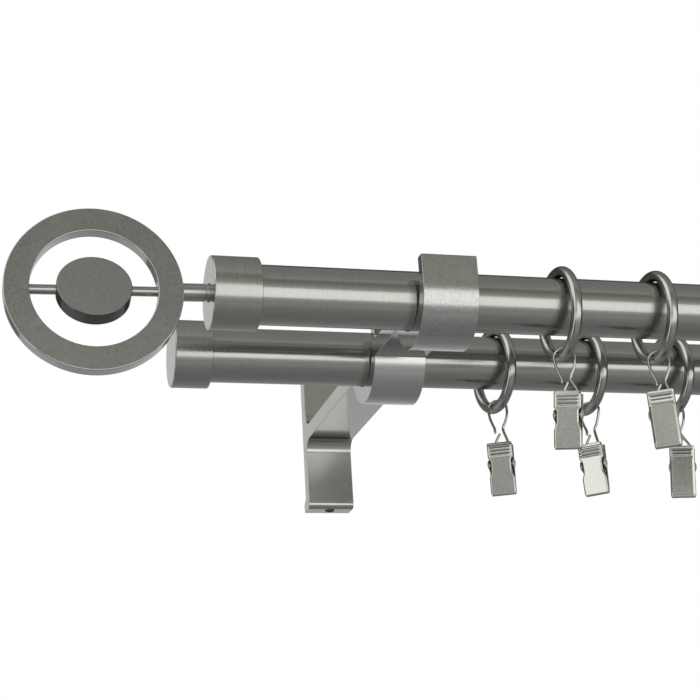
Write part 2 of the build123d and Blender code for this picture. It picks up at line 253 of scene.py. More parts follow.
def makePiece(name, points, faces, material, uvs=None, sharpDegrees=35.0):
    # points in millimetres; uvs is one pair for each corner of each face
    mesh = bpy.data.meshes.new(name)
    mesh.from_pydata([(x * mm, y * mm, z * mm) for x, y, z in points], [], faces)
    layer = mesh.uv_layers.new(name="brushing")
    if uvs:
        layer.data.foreach_set("uv", [value for pair in uvs for value in pair])
    build = bmesh.new()
    build.from_mesh(mesh)
    bmesh.ops.remove_doubles(build, verts=build.verts, dist=1e-7)
    bmesh.ops.recalc_face_normals(build, faces=build.faces)
    build.to_mesh(mesh)
    build.free()
    mesh.polygons.foreach_set("use_smooth", [True] * len(mesh.polygons))
    mesh.set_sharp_from_angle(angle=math.radians(sharpDegrees))
    mesh.materials.append(finishes[material])
    piece = bpy.data.objects.new(name, mesh)
    bpy.context.scene.collection.objects.link(piece)
    return piece


def flattenNormals(piece, weight=80):
    # keeps wide flat faces flat beside their rounded edges
    weighted = piece.modifiers.new("flatFaces", "WEIGHTED_NORMAL")
    weighted.keep_sharp = True
    weighted.weight = weight


def turned(name, outline, material, segments=96, closed=True):
    # outline of (along X, radius), turned about the X axis
    count = len(outline)
    runs = count if closed else count - 1
    points, faces, uvs, lengths = [], [], [], [0.0]
    for k in range(1, count + 1):
        step = Vector(outline[k % count][:2]) - Vector(outline[k - 1][:2])
        lengths.append(lengths[-1] + step.length)
    for j in range(segments):
        angle = 2 * math.pi * j / segments
        points += [(p[0], p[1] * math.cos(angle), p[1] * math.sin(angle)) for p in outline]
    for j in range(segments):
        for k in range(runs):
            after, onward = (j + 1) % segments, (k + 1) % count
            faces.append((j * count + k, j * count + onward, after * count + onward, after * count + k))
            low, high = lengths[k] * uvScale, lengths[k + 1] * uvScale
            uvs += [(low, j / segments), (high, j / segments),
                    (high, (j + 1) / segments), (low, (j + 1) / segments)]
    piece = makePiece(name, points, faces, material, uvs)
    flattenNormals(piece)
    return piece


def extruded(name, outline, halfWidth, material):
    # outline of (y, z), extruded to both sides along X
    count = len(outline)
    points = [(-halfWidth, p[0], p[1]) for p in outline] + [(halfWidth, p[0], p[1]) for p in outline]
    faces, uvs, along, across = [], [], 0.0, 2 * halfWidth * uvScale
    for k in range(count):
        onward = (k + 1) % count
        step = (Vector(outline[onward][:2]) - Vector(outline[k][:2])).length * uvScale
        faces.append((k, onward, count + onward, count + k))
        uvs += [(0, along), (0, along + step), (across, along + step), (across, along)]
        along += step
    for side in (0, 1):
        faces.append(tuple(range(side * count, side * count + count)))
        uvs += [(p[0] * uvScale, p[1] * uvScale) for p in outline]
    return makePiece(name, points, faces, material, uvs)


def swept(name, line, radius, material, sides=14, endDegrees=(30, 55, 75, 89)):
    # round wire along a smooth line of points, with rounded ends
    line = [Vector(p) for p in line]
    rings = []
    normal = (line[1] - line[0]).orthogonal().normalized()
    for i, point in enumerate(line):
        ahead = line[min(i + 1, len(line) - 1)] - line[max(i - 1, 0)]
        along = ahead.normalized()
        normal = (normal - along * normal.dot(along)).normalized()
        rings.append((point, along, normal, 1.0))
    for first, (point, along, normal, _) in ((True, rings[0]), (False, rings[-1])):
        outward = -along if first else along
        ends = [(point + outward * radius * math.sin(a), along, normal, math.cos(a))
                for a in (math.radians(d) for d in endDegrees)]
        rings = ends[::-1] + rings if first else rings + ends
    points, faces = [], []
    for point, along, normal, share in rings:
        across = along.cross(normal)
        for j in range(sides):
            angle = 2 * math.pi * j / sides
            points.append(point + radius * share * (normal * math.cos(angle) + across * math.sin(angle)))
    for i in range(len(rings) - 1):
        for j in range(sides):
            after = (j + 1) % sides
            faces.append((i * sides + j, i * sides + after, (i + 1) * sides + after, (i + 1) * sides + j))
    faces.append(tuple(range(sides)))
    faces.append(tuple((len(rings) - 1) * sides + j for j in range(sides)))
    return makePiece(name, points, faces, material, sharpDegrees=60.0)


def smoothLine(points, steps=10):
    # a line through the points with no corners
    points = [Vector(p) for p in points]
    padded = [2 * points[0] - points[1]] + points + [2 * points[-1] - points[-2]]
    line = []
    for i in range(1, len(padded) - 2):
        a, b, c, d = padded[i - 1:i + 3]
        for k in range(steps):
            t = k / steps
            line.append(0.5 * (2 * b + (c - a) * t + (2 * a - 5 * b + 4 * c - d) * t * t
                               + (3 * b - a - 3 * c + d) * t * t * t))
    line.append(points[-1])
    return line


def shifted(x=0.0, y=0.0, z=0.0):
    return Matrix.Translation((x * mm, y * mm, z * mm))


def mirroredAt(x):
    return shifted(x) @ Matrix.Scale(-1, 4, (1, 0, 0)) @ shifted(-x)


def settle(piece, matrix, body, slotName, *replaced):
    # puts a piece in its place, on its body, in the room of its CAD nodes
    piece.data.transform(matrix)
    if matrix.determinant() < 0:
        piece.data.flip_normals()
    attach(piece, body)
    if replaced:
        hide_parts(*replaced)


squareOn = 0.9  # least share of a face's normal that counts as facing an axis


def faceFinish(piece, material, test):
    # gives the faces that pass the test another finish
    piece.data.materials.append(finishes[material])
    for face in piece.data.polygons:
        if test(face):
            face.material_index = len(piece.data.materials) - 1


# Poles
poleLook = {"radius": 10.0, "wall": 1.0, "edge": 0.25, "segments": 160}


def makePole(name, start, y, node):
    end = start + places["poleLength"]
    inner = poleLook["radius"] - poleLook["wall"]
    outline = roundCorners([(start, poleLook["radius"], poleLook["edge"]),
                            (end, poleLook["radius"], poleLook["edge"]),
                            (end, inner, poleLook["edge"]), (start, inner, poleLook["edge"])])
    pole = turned(name, outline, "pole", poleLook["segments"])
    settle(pole, shifted(0, y, places["poleZ"]), "frame", "pole", node)


makePole("frontPoleTube", places["frontStart"], places["frontY"], "front_pole")
makePole("rearPoleTube", places["rearStart"], places["rearY"], "rear_pole")

# Caps, with a rolled edge at the face and a bright chamfer at the mouth
capLook = {"radius": 12.3, "end": 2.0, "frontLength": 15.8, "rearLength": 13.5, "faceEdge": 0.45,
           "mouthEdge": 0.4, "bore": 10.05, "stemHole": 3.15, "holeEdge": 0.15,
           "boreEdge": 0.1, "brightReach": 0.25, "brightFacing": 0.6, "segments": 128}


def makeCap(name, face, length, y, matrix, slotName, node, holeRadius=0.0):
    radius, end = capLook["radius"], capLook["end"]
    outline = roundCorners([(face, max(holeRadius, onAxis), capLook["holeEdge"] if holeRadius else 0),
                            (face, radius, capLook["faceEdge"]),
                            (face + length, radius, capLook["mouthEdge"]),
                            (face + length, capLook["bore"], capLook["boreEdge"]),
                            (face + end, capLook["bore"], 0),
                            (face + end, max(holeRadius, onAxis), 0)])
    cap = turned(name, outline, "cap", capLook["segments"], closed=holeRadius > 0)
    edge = (face + capLook["brightReach"]) * mm
    faceFinish(cap, "polished", lambda f: f.center.x < edge and f.normal.x < -capLook["brightFacing"])
    settle(cap, matrix @ shifted(0, y, places["poleZ"]), "frame", slotName, node)


leftSide, frontRight, rearRight = Matrix.Identity(4), mirroredAt(frontMidX), mirroredAt(rearMidX)
frontFace = places["frontStart"] - capLook["end"]
rearFace = places["rearStart"] - capLook["end"]
for side, frontMatrix, rearMatrix in (("left", leftSide, leftSide), ("right", frontRight, rearRight)):
    makeCap("frontCap_" + side, frontFace, capLook["frontLength"], places["frontY"], frontMatrix, "cap",
            "finial_cap_" + side, holeRadius=capLook["stemHole"])
    makeCap("rearCap_" + side, rearFace, capLook["rearLength"], places["rearY"], rearMatrix, "cap",
            "rear_cap_" + side)
print("poles and caps made")

# Finials: stem, ring, rods and disc
finialLook = {"ringToCap": 37.0, "droop": 1.2, "outer": 28.6, "inner": 20.4, "thickness": 4.7,
              "tilt": -4.5, "edge": 0.35, "stem": 2.95, "rod": 1.6, "rodSocket": 2.5,
              "disc": 12.05, "discThickness": 5.2, "discTilt": -18.2, "rodEdge": 0.2,
              "stemIntoRing": 0.15, "stemIntoCap": 1.9, "grooveFrom": -1.35, "grooveTo": -0.75,
              "grooveDepth": 0.35, "grooveRim": 0.12, "grooveFloor": 0.1, "ringSegments": 192,
              "discSegments": 128, "rodSegments": 48, "stemSegments": 64}


def facing(degrees):
    # turns a shape made about the X axis so that its face looks at -Y, then tilts it
    return Matrix.Rotation(math.radians(degrees), 4, "X") @ Matrix.Rotation(math.radians(90), 4, "Z")


def makeFinial(side, matrix):
    look = finialLook
    droop = matrix @ shifted(frontFace, places["frontY"], places["poleZ"]) \
        @ Matrix.Rotation(math.radians(-look["droop"]), 4, "Y")
    centre = droop @ shifted(-look["ringToCap"])
    half, edge = look["thickness"] / 2, look["edge"]
    ring = turned("finialRing_" + side, roundCorners([
        (-half, look["inner"], edge), (-half, look["outer"], edge),
        (half, look["outer"], edge), (half, look["inner"], edge)]), "matt", look["ringSegments"])
    faceFinish(ring, "polished", lambda f: abs(f.normal.x) < squareOn)
    settle(ring, centre @ facing(look["tilt"]), "frame", "finial", "finial_ring_" + side)

    half = look["discThickness"] / 2
    disc = turned("finialDisc_" + side, roundCorners([
        (-half, onAxis, 0), (-half, look["disc"], edge), (half, look["disc"], edge),
        (half, onAxis, 0)]),
        "matt", look["discSegments"], closed=False)
    # painted shade: the disc's side wall takes the darkened glossy finish
    faceFinish(disc, "discSide", lambda f: abs(f.normal.x) < squareOn)
    settle(disc, centre @ facing(look["discTilt"]), "disc_" + side, "finial_disc", "finial_disc_" + side)

    rodLength = look["inner"] - look["disc"] + 2 * look["rodSocket"]
    rods = []
    for start in (-look["inner"] - look["rodSocket"], look["disc"] - look["rodSocket"]):
        rods.append(turned("finialRod_" + side, roundCorners([
            (start, onAxis, 0), (start, look["rod"], look["rodEdge"]),
            (start + rodLength, look["rod"], look["rodEdge"]),
            (start + rodLength, onAxis, 0)]), "cap", look["rodSegments"], closed=False))
    joinPieces(rods)
    settle(rods[0], centre, "frame", "rod", "finial_rods_" + side)

    reach = look["ringToCap"] - look["outer"] + look["stemIntoRing"]
    radius, low, end = look["stem"], look["stem"] - look["grooveDepth"], look["stemIntoCap"]
    stem = turned("finialStem_" + side, roundCorners([
        (-reach, onAxis, 0), (-reach, radius, 0), (look["grooveFrom"], radius, look["grooveRim"]),
        (look["grooveFrom"], low, look["grooveFloor"]), (look["grooveTo"], low, look["grooveFloor"]),
        (look["grooveTo"], radius, look["grooveRim"]), (end, radius, 0), (end, onAxis, 0)]),
        "cap", look["stemSegments"], closed=False)
    settle(stem, droop, "frame", "stem", "finial_stem_" + side)


def joinPieces(pieces):
    # one mesh from several; the first keeps its name
    build = bmesh.new()
    for piece in pieces:
        build.from_mesh(piece.data)
    build.to_mesh(pieces[0].data)
    build.free()
    for piece in pieces[1:]:
        bpy.data.objects.remove(piece)


makeFinial("left", leftSide)
makeFinial("right", frontRight)
print("finials made")

# Brackets: one outline with two open cradles, the bar, and the leg with hooks round its wall plate
bracketLook = {"halfWidth": 9.65, "barTop": 3.21, "cradleInner": 12.5, "cradleOuter": 16.55,
               "cradleHeight": 10.6, "seat": -9.2, "groove": 1.0, "legFront": -9.0, "legBack": -2.9,
               "legHalf": 32.45, "legEdge": 2.3, "legFillet": 5.4, "hookInner": 26.7, "hookOuter": 28.9,
               "barFillet": 1.5, "bevel": 0.28, "rimEdge": 0.5, "legBackEdge": 0.3, "hookEdge": 0.2,
               "lipReach": 6.0, "legMargin": 1.0, "bevelSegments": 3, "bevelDegrees": 50}


def bracketOutline():
    look = bracketLook
    axis, bar, outer, inner = places["poleZ"], look["barTop"], look["cradleOuter"], look["cradleInner"]
    top = axis + look["cradleHeight"]
    below = axis + bar  # from the axis down to the bar's underside
    reach = math.sqrt(outer ** 2 - below ** 2)
    dip = math.degrees(math.atan2(below, reach))
    seatMiddle = look["seat"] + inner
    grooveHalf = math.degrees(math.asin(look["groove"] / inner))
    frontY, rearY, rim = places["frontY"], places["rearY"], look["rimEdge"]

    def cradleInside(y):
        # from the right rim down round the seat and up to the left rim
        points = [(y + inner, top, rim)]
        points += arcPoints(y, seatMiddle, inner, 0, -90 + grooveHalf)
        points += arcPoints(y, look["seat"], look["groove"], 0, 180, 30)[1:-1]
        points += arcPoints(y, seatMiddle, inner, -90 - grooveHalf, -180)
        return points + [(y - inner, top, rim)]

    points = [(frontY - outer, top, rim)]
    points += arcPoints(frontY, axis, outer, 180, 360 - dip)
    points += arcPoints(rearY, axis, outer, 180 + dip, 360 - dip)
    front, half = look["legFront"], look["legHalf"]
    points += [(front, -bar, look["legFillet"]), (front, -half, look["legEdge"]),
               (0, -half, look["legBackEdge"]), (0, -look["hookOuter"], look["hookEdge"]),
               (look["legBack"], -look["hookInner"], look["hookEdge"]),
               (look["legBack"], look["hookInner"], look["hookEdge"]),
               (0, look["hookOuter"], look["hookEdge"]), (0, half, look["legBackEdge"]),
               (front, half, look["legEdge"]), (front, bar, look["legFillet"]),
               (rearY + outer, bar, look["barFillet"]), (rearY + outer, top, rim)]
    points += cradleInside(rearY)
    points += [(rearY - outer, top, rim), (rearY - outer, bar, look["barFillet"]),
               (frontY + outer, bar, look["barFillet"]), (frontY + outer, top, rim)]
    points += cradleInside(frontY)
    return roundCorners(points)


def makeBracket(side, x):
    bracket = extruded("bracketBody_" + side, bracketOutline(), bracketLook["halfWidth"], "bracket")
    lipEnd = (places["frontY"] + bracketLook["lipReach"]) * mm
    cradleEnd = (places["rearY"] + bracketLook["cradleOuter"]) * mm
    legStart = (bracketLook["legFront"] - bracketLook["legMargin"]) * mm
    # painted light: the cradles and the leg's front face get lighter copies of the brushed nickel
    faceFinish(bracket, "cradle", lambda f: f.center.y < cradleEnd)
    faceFinish(bracket, "lip", lambda f: f.center.y < lipEnd)
    faceFinish(bracket, "legFront", lambda f: f.center.y > legStart and f.normal.y < -squareOn
               and f.center.z < 0)
    faceFinish(bracket, "polished", lambda f: abs(f.normal.x) > squareOn or f.normal.z < -squareOn)
    edges = bracket.modifiers.new("edges", "BEVEL")
    edges.width = bracketLook["bevel"] * mm
    edges.segments = bracketLook["bevelSegments"]
    edges.limit_method = "ANGLE"
    edges.angle_limit = math.radians(bracketLook["bevelDegrees"])
    edges.use_clamp_overlap = True
    flattenNormals(bracket)
    settle(bracket, shifted(x), "frame", "bracket", "bracket_body_" + side)


# Grub screws, with a six-sided socket
screwLook = {"radius": 2.0, "y": -5.25, "stand": 0.5, "socket": 1.25, "socketDepth": 2.2,
             "footBevel": 0.3, "threads": 9, "firstCrest": 0.7, "pitch": 0.5, "rootAfter": 0.25,
             "threadDepth": 0.22, "sides": 48}


def makeGrubScrew(side, x):
    look = screwLook
    sides = look["sides"]
    points, faces = [], []
    # rings from the socket's floor out over the foot and up the thread
    rings = [(look["socketDepth"], "floor"), (look["socketDepth"], "socket"), (0.0, "socket"),
             (0.0, look["radius"] - look["footBevel"]), (look["footBevel"], look["radius"])]
    for turn in range(look["threads"]):
        crest = look["firstCrest"] + turn * look["pitch"]
        rings += [(crest, look["radius"]),
                  (crest + look["rootAfter"], look["radius"] - look["threadDepth"])]
    for height, radius in rings:
        for j in range(sides):
            angle = 2 * math.pi * j / sides
            if radius in ("socket", "floor"):
                apothem = look["socket"] * math.cos(math.pi / 6)
                wedge = (angle + math.pi / 6) % (math.pi / 3) - math.pi / 6
                reach = apothem / math.cos(wedge) * (1 if radius == "socket" else 0.02)
            else:
                reach = radius
            points.append((reach * math.cos(angle), reach * math.sin(angle), height))
    for i in range(len(rings) - 1):
        for j in range(sides):
            after = (j + 1) % sides
            faces.append((i * sides + j, i * sides + after, (i + 1) * sides + after, (i + 1) * sides + j))
    screw = makePiece("grubScrew_" + side, points, faces, "screw")
    foot = -bracketLook["legHalf"] - look["stand"]
    settle(screw, shifted(x, look["y"], foot), "frame", "screw", "grub_screw_" + side)


for side, x in (("left", 0.0), ("right", places["rightBracketX"])):
    makeBracket(side, x)
    makeGrubScrew(side, x)
print("brackets made")

# Curtain rings
ringLook = {"radius": 14.72, "wire": 1.94, "around": 144, "across": 40, "gap": 0.05}
ringZ = places["poleZ"] - (ringLook["radius"] - ringLook["wire"] - poleLook["radius"] - ringLook["gap"])
hookZ = ringZ - ringLook["radius"]

# Each ring: pole, place along it, ring's turn, hook's turn, clip's place, lean and nod, and
# whether the straight jaw is in front
ringPlaces = {
    "front_1": ("frontY", 44.35, 0.4, 32.0, (0.0, -13.2), -6.4, 2.0, False),
    "front_2": ("frontY", 79.5, 0.5, 29.0, (-0.7, -13.0), 1.6, -1.0, True),
    "rear_1": ("rearY", 41.65, 5.9, 28.0, (-0.4, -13.9), -0.4, 1.5, False),
    "rear_2": ("rearY", 78.7, 4.2, 40.0, (-0.9, -13.6), 1.2, 0.5, False),
    "rear_3": ("rearY", 114.4, 4.7, 29.0, (1.3, -14.9), -5.1, 2.0, True),
}


def makeRing(name, y, x, turn):
    outline = arcPoints(0, ringLook["radius"], ringLook["wire"], 0, 360 - 360 / ringLook["across"],
                        360 / ringLook["across"])
    ring = turned("curtainRing_" + name, outline, "ring", ringLook["around"])
    settle(ring, shifted(x, y, ringZ) @ Matrix.Rotation(math.radians(turn), 4, "Z"),
           "ring_" + name, "ring", "curtain_ring_" + name)


# Wire hooks
hookLook = {"wire": 0.5, "loop": 3.05, "footRight": 3.1, "footLeft": -1.1, "footDepth": 1.9,
            "footTop": 0.6, "footSide": -0.9, "loopSteps": 6, "end": (0.35, 3.2),
            "tip": [(-1.6, -9.7), (-1.7, -8.2), (-2.45, -6.1), (-3.1, -3.9)],
            "neck": [(3.35, -3.4), (2.6, -5.8), (1.6, -7.9), (1.5, -9.4)]}


def makeHook(name, hang, turn, clipPlace, lean):
    look = hookLook
    reach = look["loop"] / math.cos(math.radians(turn))
    drop = look["loop"] - ringLook["wire"] - look["wire"] - ringLook["gap"]

    def inClip(u, z):
        angle = math.radians(lean)
        return (clipPlace[0] + u * math.cos(angle) - z * math.sin(angle),
                clipPlace[1] + u * math.sin(angle) + z * math.cos(angle))

    loop = []
    for step in range(look["loopSteps"] + 1):
        angle = math.pi * (1 - step / look["loopSteps"])
        loop.append((reach * math.cos(angle), look["loop"] * math.sin(angle) - drop))
    right, left, top, low = look["footRight"], look["footLeft"], look["footTop"], look["footSide"]
    foot = [inClip(right, top), inClip(right, low), inClip((right + left) / 2, -look["footDepth"]),
            inClip(left, low), inClip(left, top)]
    end = [(clipPlace[0] + look["end"][0], clipPlace[1] + look["end"][1])]
    line = smoothLine([(u, 0, z) for u, z in look["tip"] + loop + look["neck"] + foot + end])
    hook = swept("ringHook_" + name, line, look["wire"], "wire")
    settle(hook, hang, "clip_" + name, "wire", "ring_hook_" + name)


# Clips: two stamped jaws on a rivet, with ribs across their handles and a folded lip
clipLook = {"height": 19.6, "half": 4.7, "handleReach": 3.0, "pivot": 7.8, "lip": 1.1, "foot": 1.15,
            "sheet": 0.42, "corner": 0.58, "flange": 0.95, "wireOffset": 1.3, "foldRadius": 0.4,
            "rows": 150, "rowsBeforeFold": 147, "flats": 44, "bendSteps": 6, "flangeSteps": 5,
            "lipSteps": 4, "footNarrowing": 0.35, "footCorner": 0.7, "ribMargins": (1.15, 0.75),
            "shadeMargin": 1.1, "shadeReach": 0.16, "shadeFront": -1.5,
            "flangeStart": (-0.9, 0.6), "flangeLeast": 0.05}
waistedLook = {"waist": 3.85, "waistTop": 5.2, "waistCorner": 2.0, "waistBottom": 10.5, "flare": 3.2,
               "earHalf": 2.2, "earReach": 3.75, "ribs": (2.25, 3.45, 4.65), "ribHeight": 0.2,
               "ribRise": 0.42, "ribFall": 0.78, "topFlare": -0.35, "flareDepth": 1.9,
               "topNarrowing": 0.45, "topCorner": (-0.3, 0.7)}
straightLook = {"earHalf": 2.3, "earReach": 3.75, "ribs": (2.15, 3.3), "ribHeight": 0.2,
                "ribRise": 0.4, "ribFall": 0.75,
                "panelTop": 4.5, "panelBottom": 18.7, "panelMargin": 0.5, "panelCorner": 1.0,
                "panelRise": 0.2, "panelSlope": 0.3, "topFlare": 0.2, "flareDepth": 1.3,
                "topNarrowing": 0.35, "topCorner": (-0.2, 0.5)}


def ramp(value, low, high):
    t = min(1.0, max(0.0, (value - low) / (high - low)))
    return t * t * (3 - 2 * t)


def halfWidth(depth, look):
    # half of the jaw's width at a depth below its top edge
    height = clipLook["height"]
    footCorner = clipLook["footNarrowing"] * ramp(depth, height - clipLook["footCorner"], height)
    full = clipLook["half"] - footCorner
    topCorner = look["topNarrowing"] * (1 - ramp(depth, *look["topCorner"]))
    if "waist" not in look:
        return full - topCorner
    narrow = full - look["waist"]
    inward = ramp(depth, look["waistTop"], look["waistTop"] + look["waistCorner"])
    outward = ramp(depth, look["waistBottom"], look["waistBottom"] + look["flare"])
    return full - narrow * (inward - outward) - topCorner


def relief(u, depth, look):
    # how far the pressed ribs and panels stand out of the sheet
    half = halfWidth(depth, look)
    out = look["topFlare"] * (1 - ramp(depth, 0.0, look["flareDepth"])) ** 2
    outerMargin, innerMargin = clipLook["ribMargins"]
    for rib in look["ribs"]:
        below = (depth - rib) / (look["ribFall"] if depth > rib else look["ribRise"])
        across = max(0.0, 1 - abs(below))
        inside = 1 - ramp(abs(u), half - outerMargin, half - innerMargin)
        out += look["ribHeight"] * across * inside
    if "panelTop" in look:
        middle = (look["panelTop"] + look["panelBottom"]) / 2
        reachU = clipLook["half"] - look["panelMargin"] - look["panelCorner"]
        reachZ = (look["panelBottom"] - look["panelTop"]) / 2 - look["panelCorner"]
        du, dz = max(0.0, abs(u) - reachU), max(0.0, abs(depth - middle) - reachZ)
        slopeFrom = look["panelCorner"] - look["panelSlope"]
        out += look["panelRise"] * (1 - ramp(math.hypot(du, dz), slopeFrom, look["panelCorner"]))
    return out


def makeJaw(name, look, back):
    # a bent sheet: rows go down the face and round the lip, columns go from flange to flange
    height, corner, radius = clipLook["height"], clipLook["corner"], clipLook["foldRadius"]
    slope = (clipLook["handleReach"] - clipLook["foot"]) / height
    bends, flats = clipLook["bendSteps"], clipLook["flats"]
    sides, lips = clipLook["flangeSteps"], clipLook["lipSteps"]
    rows = [(height * k / clipLook["rows"], 0.0, 0.0) for k in range(clipLook["rowsBeforeFold"] + 1)]
    foldFrom = rows[-1][0]
    for k in range(1, bends + 1):
        angle = math.radians(90 * k / bends)
        rows.append((foldFrom + radius * math.sin(angle), radius * (1 - math.cos(angle)), angle))
    lastDepth, lastBack, _ = rows[-1]
    for k in range(1, lips + 1):
        rows.append((lastDepth, lastBack + k * (clipLook["lip"] - radius) / lips, math.pi / 2))
    points, faces = [], []
    for depth, inward, angle in rows:
        half = halfWidth(depth, look)
        bendRadius = corner * math.cos(angle)
        lift = math.sqrt(max(0.0, 1 - ((depth - clipLook["pivot"]) / look["earHalf"]) ** 2))
        flange = clipLook["flange"] + (look["earReach"] - clipLook["flange"]) * lift
        front = -(clipLook["handleReach"] - slope * depth) + inward
        flange = bendRadius if angle > 0 else max(flange * ramp(depth, *clipLook["flangeStart"]),
                                                  corner + clipLook["flangeLeast"])
        section = []
        for k in range(sides):
            section.append((-half, front + bendRadius + (flange - bendRadius) * (1 - k / sides)))
        for k in range(bends + 1):
            bend = math.radians(90 * k / bends)
            section.append((-half + bendRadius * (1 - math.cos(bend)),
                            front + bendRadius * (1 - math.sin(bend))))
        for k in range(1, flats):
            section.append((-half + bendRadius + 2 * (half - bendRadius) * k / flats, front))
        for k in range(bends + 1):
            bend = math.radians(90 * (1 - k / bends))
            section.append((half - bendRadius * (1 - math.cos(bend)),
                            front + bendRadius * (1 - math.sin(bend))))
        for k in range(1, sides + 1):
            section.append((half, front + bendRadius + (flange - bendRadius) * k / sides))
        for u, y in section:
            out = relief(u, depth, look) if angle == 0 else 0.0
            fade = 1 - ramp(y - front, 0.0, corner)
            points.append((u, y - out * fade, -depth))
    columns = len(points) // len(rows)
    for i in range(len(rows) - 1):
        for j in range(columns - 1):
            faces.append((i * columns + j, i * columns + j + 1,
                          (i + 1) * columns + j + 1, (i + 1) * columns + j))
    jaw = makePiece(name, points, faces, "clip", sharpDegrees=50.0)
    # painted shade: the steep side of each rib gets a dark finish
    inner = (clipLook["half"] - clipLook["shadeMargin"]) * mm
    shadeReach, shadeFront = clipLook["shadeReach"], clipLook["shadeFront"] * mm
    spans = [((-rib) * mm, (-rib + look["ribRise"] + shadeReach) * mm) for rib in look["ribs"]]
    sheet = jaw.modifiers.new("sheet", "SOLIDIFY")
    sheet.thickness = clipLook["sheet"] * mm
    sheet.offset = -1.0
    sheet.use_even_offset = False
    # painted light: the sheet's inner side takes the lightened inner finish
    sheet.material_offset = 1
    jaw.data.materials.append(finishes["clipInsidePaintedLight"])
    faceFinish(jaw, "ribPaintedShade", lambda f: abs(f.center.x) < inner and f.center.y < shadeFront
               and any(low < f.center.z < high for low, high in spans))
    if back:
        jaw.data.transform(Matrix.Rotation(math.pi, 4, "Z"))
    return jaw


def makeClip(name, place, straightInFront):
    offset = shifted(0, clipLook["wireOffset"], 0)
    matrix = place @ (Matrix.Scale(-1, 4, (0, 1, 0)) @ offset if straightInFront else offset)
    waisted = makeJaw("waistedJaw_" + name, waistedLook, False)
    settle(waisted, matrix, "clip_" + name, "clip", "waisted_jaw_" + name)
    straight = makeJaw("straightJaw_" + name, straightLook, True)
    settle(straight, matrix, "jaw_" + name, "clip", "straight_jaw_" + name)


for name, (pole, x, ringTurn, turn, clipPlace, lean, nod, straightInFront) in ringPlaces.items():
    makeRing(name, places[pole], x, ringTurn)
    hang = shifted(x, places[pole], hookZ) @ Matrix.Rotation(math.radians(-turn), 4, "Z")
    makeHook(name, hang, turn, clipPlace, lean)
    leaned = Matrix.Rotation(math.radians(-lean), 4, "Y") @ Matrix.Rotation(math.radians(nod), 4, "X")
    makeClip(name, hang @ shifted(clipPlace[0], 0, clipPlace[1]) @ leaned, straightInFront)
print("rings, hooks and clips made")

# CAD nodes that stay get their finish
# painted light: the rivet (clip_pin) takes the lightened inner finish of the clips
nodeFinishes = {"wall_plate": "plate", "clip_pin": "clipInsidePaintedLight", "clip_spring": "spring"}
for name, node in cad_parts.items():
    for start, finish in nodeFinishes.items():
        if name.startswith(start):
            node.data.materials.clear()
            node.data.materials.append(finishes[finish])

# Studio: pale floor, white surroundings, a soft lamp, and a toned tube that only reflections show
studio = {"floorZ": -1.35, "floorSize": 60.0, "tubeRadius": 1.25, "tubeLeft": -2.9, "tubeRight": 3.9,
          "poleLine": -0.135, "stripLeft": -0.5, "stripFade": 0.1, "strength": 1.6,
          "leftEnd": 0.12, "rightEnd": 0.1, "wallFrom": -25.0, "wallTo": 60.0, "wallEdgeFrom": -1.6,
          "wallEdgeTo": -0.42, "wallFade": 0.08, "endMargin": 0.002, "tubeSteps": 90,
          "floorColour": (0.86, 0.86, 0.85, 1), "floorRoughness": 0.7}
# blue against red in the tones, as the photograph has it: from, to and share; 1 elsewhere
blueSpans = [(8, 44, 0.9), (0, 181, 0.98), (-181, -60, 1.02)]
# tone of the tube at each angle round the poles, from straight ahead upwards
aheadTones = [(-180, 0.66), (-164, 0.55), (-156, 0.44), (-148, 0.38), (-140, 0.325), (-130, 0.275),
              (-110, 0.245), (-92, 0.25), (-72, 0.29), (-60, 0.345), (-50, 0.43), (-43, 0.38),
              (-37, 0.46), (-28, 0.62), (-26, 1.5), (-4, 1.55), (7, 1.42), (10, 0.62), (17, 0.45),
              (25, 0.36), (33, 0.27), (42, 0.25), (45, 0.44), (53, 0.41), (63, 0.35), (90, 0.33),
              (112, 0.37), (130, 0.39), (145, 0.42), (157, 0.7), (180, 0.7)]
# further left: dark below and behind, and a bright leaning wall of light beyond it
sideTones = [(-180, 0.55), (-145, 0.45), (-115, 0.3), (-60, 0.2), (-34, 0.22), (-31, 1.2), (-18, 1.2),
             (-14, 0.42), (0, 0.44), (8, 0.6), (20, 0.52), (45, 0.3), (90, 0.28), (130, 0.2), (180, 0.2)]
wallTones = [(-180, 0.2), (-115, 0.2), (-95, 1.2), (-60, 1.45), (90, 1.45), (112, 1.2), (128, 0.2),
             (180, 0.2)]


def makeFloor():
    size = studio["floorSize"] / 2 / mm
    points = [(x, y, studio["floorZ"] / mm) for x, y in
              ((-size, -size), (size, -size), (size, size), (-size, size))]
    finishes["floor"], tree = newMaterial("paleFloor")
    shader = tree.nodes["Principled BSDF"]
    shader.inputs["Base Color"].default_value = studio["floorColour"]
    shader.inputs["Roughness"].default_value = studio["floorRoughness"]
    floor = makePiece("studioFloor", points, [(0, 1, 2, 3)], "floor")


def glowMaterial(name, strength):
    # gives light and reflects none
    material, tree = newMaterial(name)
    tree.nodes.remove(tree.nodes["Principled BSDF"])
    glow = addNode(tree, "ShaderNodeEmission", {"Strength": strength})
    nodeLink(tree, glow, "Emission", tree.nodes["Material Output"], "Surface")
    return material, tree, glow


def leaveToReflections(piece):
    piece.visible_camera = False
    piece.visible_diffuse = False
    piece.visible_shadow = False


def toneRamp(tree, share, tones):
    # a colour for each angle, which share gives as a part of the full turn
    colours = addNode(tree, "ShaderNodeValToRGB")
    elements = colours.color_ramp.elements
    while len(elements) < len(tones):
        elements.new(0.5)
    for element, (degrees, tone) in zip(elements, tones):
        element.position = (degrees + 180) / 360
        blue = next((part for low, high, part in blueSpans if low < degrees < high), 1.0)
        value = tone / studio["strength"]
        element.color = (value, value, value * blue, 1)
    nodeLink(tree, share, "Value", colours, "Fac")
    return colours


